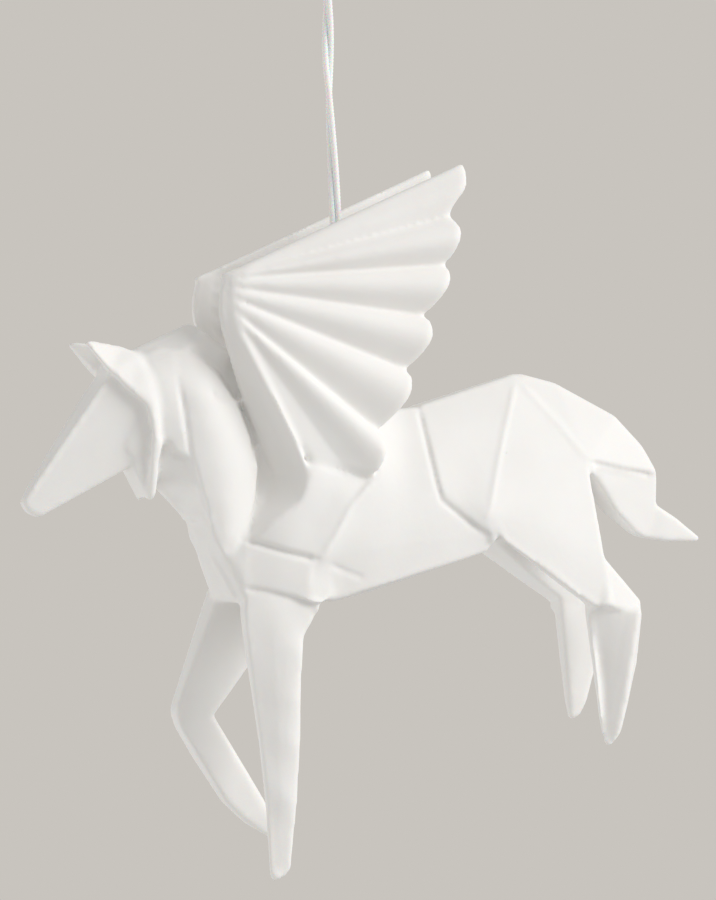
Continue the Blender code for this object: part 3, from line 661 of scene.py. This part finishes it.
def carve(co, normals, edges, count):
    """Move the outer skin of both sides to the relief."""
    place = side_view(co)
    out = np.abs(co[:, 1]) / MM
    share = np.clip((facing_out(co, normals) - 0.15) / 0.3, 0, 1)
    share = evened(share, edges, count, EVENED_TIMES)
    nearest = np.full(len(co), PATCH_RIM)
    aim = out.copy()
    for name, (outline, middle) in RELIEF.items():
        points = np.array(outline + middle, float)
        edge = points[: len(outline)][:, [0, 2]]
        height = thin_plate(points[:, [0, 2]], points[:, 1])
        apart = outside(place, edge)
        here = (apart < nearest) & (share > 0.02)
        if name in NEAR_ONLY:
            here &= co[:, 1] < 0
        target = height(place[here])
        close = np.abs(target - out[here]) < DEEP.get(name, USUAL_DEPTH)
        here[here] = close
        aim[here] = target[close]
        nearest[here] = apart[here]
    strength = np.clip((PATCH_RIM - nearest) / 0.3, 0, 1) * share
    out += evened((aim - out) * strength, edges, count, EVENED_TIMES)
    co = co.copy()
    co[:, 1] = np.where(co[:, 1] < 0, -out, out) * MM
    return co


# Valleys and ridges: each is its line (along, out, up), how far it rises, less than nothing
# for a valley, and its half width. The valleys between the pleats follow from the folds.
FOLD_LINES = [
    (
        [
            (11.9, 3.0, -1.4), (11.9, 5.6, -5.3), (12.1, 7.7, -9.4), (12.5, 9.1, -13.4),
            (13.2, 9.7, -16.7), (16.4, 10.1, -19.5), (20.6, 10.3, -22.7),
        ],
        -0.36,
        0.4,
    ),
    (
        [
            (29.0, 2.0, 2.3), (27.6, 3.8, -0.9), (25.5, 6.0, -5.8), (23.1, 8.5, -12.2),
            (20.5, 11.0, -19.7),
        ],
        0.22,
        0.45,
    ),
    ([(29.6, 2.2, 1.9), (34.4, 4.6, -4.2), (39.6, 6.6, -11.0)], 0.12, 0.6),
    (
        [
            (-19.5, 7.9, -21.9), (-18.3, 8.2, -22.2), (-13.5, 10.3, -24.0), (-9.6, 11.1, -25.1),
            (-8.5, 11.3, -25.3),
        ],
        -0.75,
        0.5,
    ),
    ([(-20.3, 9.0, -29.5), (-16.9, 9.8, -30.1), (-13.0, 10.6, -31.3), (-8.9, 11.0, -32.8)], -0.45, 0.45),
    ([(-6.1, 10.5, -26.2), (-3.6, 10.2, -27.4), (-0.4, 10.0, -28.7)], -0.2, 0.5),
    (
        [
            (-28.9, 5.9, 4.0), (-28.3, 6.7, -0.8), (-27.7, 6.9, -7.2), (-26.4, 7.2, -13.6),
            (-25.0, 7.2, -19.3),
        ],
        -0.3,
        0.45,
    ),
    ([(1.4, 10.4, -13.4), (-2.6, 11.0, -17.4), (-5.5, 11.5, -22.1), (-7.7, 11.5, -24.8)], 0.25, 0.5),
    ([(39.7, 6.4, -11.4), (45.6, 5.2, -12.8), (52.1, 2.4, -14.1)], -0.4, 0.4),
    ([(-40.0, 4.4, 4.5), (-46.9, 2.9, -5.0), (-53.7, 1.2, -14.7)], 0.35, 0.4),
    ([(21.1, 8.6, -25.8), (26.2, 9.4, -27.8), (31.8, 9.8, -31.9), (37.7, 9.8, -35.5)], 0.25, 0.45),
]

for number, (root, tip, _) in enumerate(FOLDS[:-1]):
    valley = [(root[0], WING_OUT, root[1]), (tip[0], WING_OUT, tip[1])]
    FOLD_LINES.append((valley, -0.38, 0.42) if number else (valley, -0.2, 0.8))


def press_folds(co, normals):
    """Press each valley into the skin, or lift each ridge, on both sides."""
    place = np.stack([co[:, 0] / MM, np.abs(co[:, 1]) / MM, co[:, 2] / MM + HOOK_ABOVE_EYE], axis=1)
    share = np.clip(facing_out(co, normals) / 0.4, 0, 1)
    moved = co.copy()
    for line, depth, width in FOLD_LINES:
        line = np.array(line, float)
        best = np.full(len(co), np.inf)
        fade = np.zeros(len(co))
        steps = np.concatenate([[0], np.cumsum(np.linalg.norm(np.diff(line, axis=0), axis=1))])
        for k, (a, b) in enumerate(zip(line, line[1:])):
            d = b - a
            t = np.clip(((place - a) @ d) / (d @ d), 0, 1)
            near = place - a - t[:, None] * d
            far = np.sqrt(near[:, 0] ** 2 + near[:, 2] ** 2 + (0.35 * near[:, 1]) ** 2)
            closer = far < best
            run = (steps[k] + t * (steps[k + 1] - steps[k])) / steps[-1]
            best = np.where(closer, far, best)
            fade = np.where(closer, run, fade)
        ends = np.clip(fade / 0.1, 0.3, 1) * np.clip((1 - fade) / 0.1, 0.3, 1)
        amount = depth * np.exp(-((best / width) ** 2)) * share * ends
        moved += normals * amount[:, None] * MM
    return moved


# Lines along which the casting is worn soft: their points (along, up), and how far the wear
# reaches. The wings' folds are added, so that they are even before they are pressed in.
SOFT = [
    ([(-19.0, -22.4), (-20.2, -29.0)], 1.2),
    ([(-16.4, -8.0), (-16.6, -15.0), (-18.4, -21.5), (-20.5, -24.0)], 1.2),
    ([(-9.4, -8.6), (-9.0, -11.6)], 1.5),
    ([(-4.6, -30.6), (-6.4, -32.6)], 1.1),
    ([(-35.4, 7.6), (-33.6, 2.2)], 1.8),
    ([(-26.3, -21.0), (-25.6, -22.4)], 1.6),
    ([(-26.2, -15.5), (-24.6, -20.0), (-22.8, -24.4)], 1.0),
    ([(38.9, -37.0), (40.0, -43.6), (40.7, -55.8)], 0.7),
    ([(46.4, -37.0), (45.5, -41.3), (44.1, -48.6), (42.6, -54.7)], 0.7),
    ([(-22.4, 19.4), (-20.0, 11.8)], 1.0),
    ([(-20.2, 21.1), (19.1, 37.5)], 0.8),
    ([(-19.2, 21.0), (17.2, 31.2)], 1.6),
    ([(-9.2, -9.6), (-3.0, -11.2), (1.8, -12.6)], 1.0),
    ([(-18.6, 10.4), (-14.5, 1.6), (-11.7, -4.4), (-9.4, -9.8)], 0.8),
]
for number, (root, tip, _) in enumerate(FOLDS[:-1]):
    SOFT.append(([root, tip], 0.8 if number else 1.5))
SOFT_ROUNDS = 14


def soften(co, edges, count):
    """Wear the skin of both sides down along the soft lines."""
    place = side_view(co)
    weight = np.zeros(count)
    for line, reach in SOFT:
        line = np.array(line, float)
        for a, b in zip(line, line[1:]):
            weight = np.maximum(weight, np.exp(-((from_line(place, a, b) / reach) ** 4)))
    return relax(co, edges, count, SOFT_ROUNDS, back=0.0, weight=weight)


def coords(mesh):
    co = np.empty(len(mesh.vertices) * 3)
    mesh.vertices.foreach_get("co", co)
    return co.reshape(-1, 3)


def normals_of(mesh):
    out = np.empty(len(mesh.vertices) * 3)
    mesh.vertex_normals.foreach_get("vector", out)
    return out.reshape(-1, 3)


def put(mesh, co):
    mesh.vertices.foreach_set("co", co.ravel())
    mesh.update()


# Clay that fills the hollow behind the cheeks, where the ear flaps lie on the head: the near
# side's points, which the far side mirrors.
CHEEK = [
    (-35.9, 4.6, 1.0), (-33.5, 5.4, 0.6), (-32.1, 5.4, -3.9), (-30.6, 4.8, -5.2), (-32.5, 4.4, -9.3),
    (-34.9, 4.0, -9.8), (-37.1, 4.2, -6.6),
]


def with_cheeks(mesh):
    """The mesh with the cheek block added, which goes right through the head."""
    work = bmesh.new()
    work.from_mesh(mesh)
    own = bmesh.new()
    for side in (1, -1):
        for along, out, up in CHEEK:
            own.verts.new(at(along, out * side, up))
    bmesh.ops.convex_hull(own, input=own.verts)
    work.from_mesh(mesh_of(own, "cheek"))
    return mesh_of(work, "joined")


# The frame's own solid, merged and cut back to what isn't wing, then made one skin with the
# finer wings. The wing room is the block, on each side, that is cut off: size and middle.
ROOM_SIZE = (60.0, 12.0, 60.0)
ROOM_MIDDLE = (6.5, 10.6, 30.4)
FIRST_VOXEL = 0.42 * MM
FINE_VOXEL = 0.34 * MM
FINE_ROUNDS = 14
LAST_ROUNDS = 3
MOST_TRIANGLES = 198000
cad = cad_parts["pegasus"]
work = bmesh.new()
work.from_mesh(cad.data)
bmesh.ops.remove_doubles(work, verts=work.verts, dist=1e-6)
trunk = new_object("trunk", mesh_of(work, "merged"))
work = bmesh.new()
for side in (1, -1):
    box = bmesh.ops.create_cube(work, size=1.0)
    for v in box["verts"]:
        along, out, up = (p * size + middle for p, size, middle in zip(v.co, ROOM_SIZE, ROOM_MIDDLE))
        v.co = at(along, out * side, up)
bmesh.ops.recalc_face_normals(work, faces=work.faces)
cutter = new_object("wing_room", mesh_of(work, "wing_room"))
cut = trunk.modifiers.new("wing room", "BOOLEAN")
cut.operation = "DIFFERENCE"
cut.solver = "EXACT"
cut.object = cutter
rough_mesh = with_cheeks(evaluated(trunk))
bpy.data.objects.remove(trunk, do_unlink=True)
bpy.data.objects.remove(cutter, do_unlink=True)
skin = voxel_skin(rough_mesh, FIRST_VOXEL)
count = len(skin.vertices)
edges = neighbours(skin)
co = melt(coords(skin), edges, count)
put(skin, co)
co = carve(co, normals_of(skin), edges, count)
put(skin, co)
wing_mesh = mesh_of(fine_wings(), "wings")
work = bmesh.new()
work.from_mesh(skin)
work.from_mesh(wing_mesh)
body_mesh = voxel_skin(mesh_of(work, "both"), FINE_VOXEL)
count = len(body_mesh.vertices)
edges = neighbours(body_mesh)
co = relax(coords(body_mesh), edges, count, FINE_ROUNDS)
put(body_mesh, co)
co = soften(co, edges, count)
put(body_mesh, co)
co = press_folds(co, normals_of(body_mesh))
co = relax(co, edges, count, LAST_ROUNDS)
put(body_mesh, co)


def thinned(mesh, triangles):
    """The mesh with fewer triangles, more of them kept where it bends."""
    whole = new_object("whole", mesh)
    reduce = whole.modifiers.new("fewer", "DECIMATE")
    reduce.ratio = triangles / (2 * len(mesh.polygons))
    reduce.use_collapse_triangulate = False
    out = evaluated(whole)
    bpy.data.objects.remove(whole, do_unlink=True)
    return out


body_mesh = thinned(body_mesh, MOST_TRIANGLES)
body_mesh.shade_smooth()
body_mesh.name = "porcelain_body"
body = new_object("porcelain_body", body_mesh)
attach(body, "root")
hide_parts("pegasus")

bisque = bpy.data.materials.new("bisque_porcelain_fine")
bisque.use_nodes = True
nodes, links = bisque.node_tree.nodes, bisque.node_tree.links
shader = nodes["Principled BSDF"]
shader.inputs["Roughness"].default_value = 0.62
shader.inputs["IOR"].default_value = 1.5
shader.inputs["Specular IOR Level"].default_value = 0.35
shader.inputs["Subsurface Weight"].default_value = 0.2
shader.inputs["Subsurface Radius"].default_value = (1.0, 0.75, 0.55)
shader.inputs["Subsurface Scale"].default_value = 0.0009
place = nodes.new("ShaderNodeTexCoord")
cloud = nodes.new("ShaderNodeTexNoise")
cloud.inputs["Scale"].default_value = 90.0
cloud.inputs["Detail"].default_value = 4.0
links.new(place.outputs["Object"], cloud.inputs["Vector"])
tint = nodes.new("ShaderNodeValToRGB")
tint.color_ramp.elements[0].position = 0.35
tint.color_ramp.elements[0].color = (0.905, 0.893, 0.872, 1)
tint.color_ramp.elements[1].position = 0.65
tint.color_ramp.elements[1].color = (0.925, 0.917, 0.900, 1)
links.new(cloud.outputs["Fac"], tint.inputs["Fac"])
links.new(tint.outputs["Color"], shader.inputs["Base Color"])
grain = nodes.new("ShaderNodeTexNoise")
grain.inputs["Scale"].default_value = 4200.0
grain.inputs["Detail"].default_value = 2.0
links.new(place.outputs["Object"], grain.inputs["Vector"])
swell = nodes.new("ShaderNodeTexNoise")
swell.inputs["Scale"].default_value = 420.0
swell.inputs["Detail"].default_value = 2.0
links.new(place.outputs["Object"], swell.inputs["Vector"])
low_bump = nodes.new("ShaderNodeBump")
low_bump.inputs["Strength"].default_value = 0.35
low_bump.inputs["Distance"].default_value = 0.00008
links.new(swell.outputs["Fac"], low_bump.inputs["Height"])
bump = nodes.new("ShaderNodeBump")
bump.inputs["Strength"].default_value = 0.3
bump.inputs["Distance"].default_value = 0.00001
links.new(grain.outputs["Fac"], bump.inputs["Height"])
links.new(low_bump.outputs["Normal"], bump.inputs["Normal"])
links.new(bump.outputs["Normal"], shader.inputs["Normal"])
body_mesh.materials.clear()
body_mesh.materials.append(bisque)


# Backdrop: a plain warm grey, seen by the camera only. The figurine is lit by the lamps
# and by a soft even light all round.
world = bpy.data.worlds.new("studio")
bpy.context.scene.world = world
world.use_nodes = True
nodes, links = world.node_tree.nodes, world.node_tree.links
nodes.clear()
out = nodes.new("ShaderNodeOutputWorld")
seen = nodes.new("ShaderNodeBackground")
seen.inputs["Color"].default_value = (0.578, 0.552, 0.515, 1)
seen.inputs["Strength"].default_value = 1.0
fill = nodes.new("ShaderNodeBackground")
fill.inputs["Color"].default_value = (1.0, 0.985, 0.96, 1)
fill.inputs["Strength"].default_value = 0.56
path = nodes.new("ShaderNodeLightPath")
mix = nodes.new("ShaderNodeMixShader")
links.new(path.outputs["Is Camera Ray"], mix.inputs["Fac"])
links.new(fill.outputs["Background"], mix.inputs[1])
links.new(seen.outputs["Background"], mix.inputs[2])
links.new(mix.outputs["Shader"], out.inputs["Surface"])


# Lamps: two square soft boxes. The key stands to the right of the camera and a little
# above it, and the weak fill low on the left, a little behind the figurine.
LAMP_DISTANCE = 1.2
LAMP_SIZE = 0.7


def softbox(name, azimuth_deg, elevation_deg, power):
    a, e = math.radians(azimuth_deg), math.radians(elevation_deg)
    back = Vector((math.sin(a) * math.cos(e), -math.cos(a) * math.cos(e), math.sin(e)))
    data = bpy.data.lights.new(name, "AREA")
    data.shape = "SQUARE"
    data.size = LAMP_SIZE
    data.energy = power
    lamp = new_object(name, data)
    lamp.location = target + back * LAMP_DISTANCE
    lamp.rotation_mode = "QUATERNION"
    lamp.rotation_quaternion = back.to_track_quat("Z", "Y")


softbox("key", 48, 22, 8.5)
softbox("low_fill", -107, -30, 3.0)

bpy.context.scene.view_settings.view_transform = "Standard"
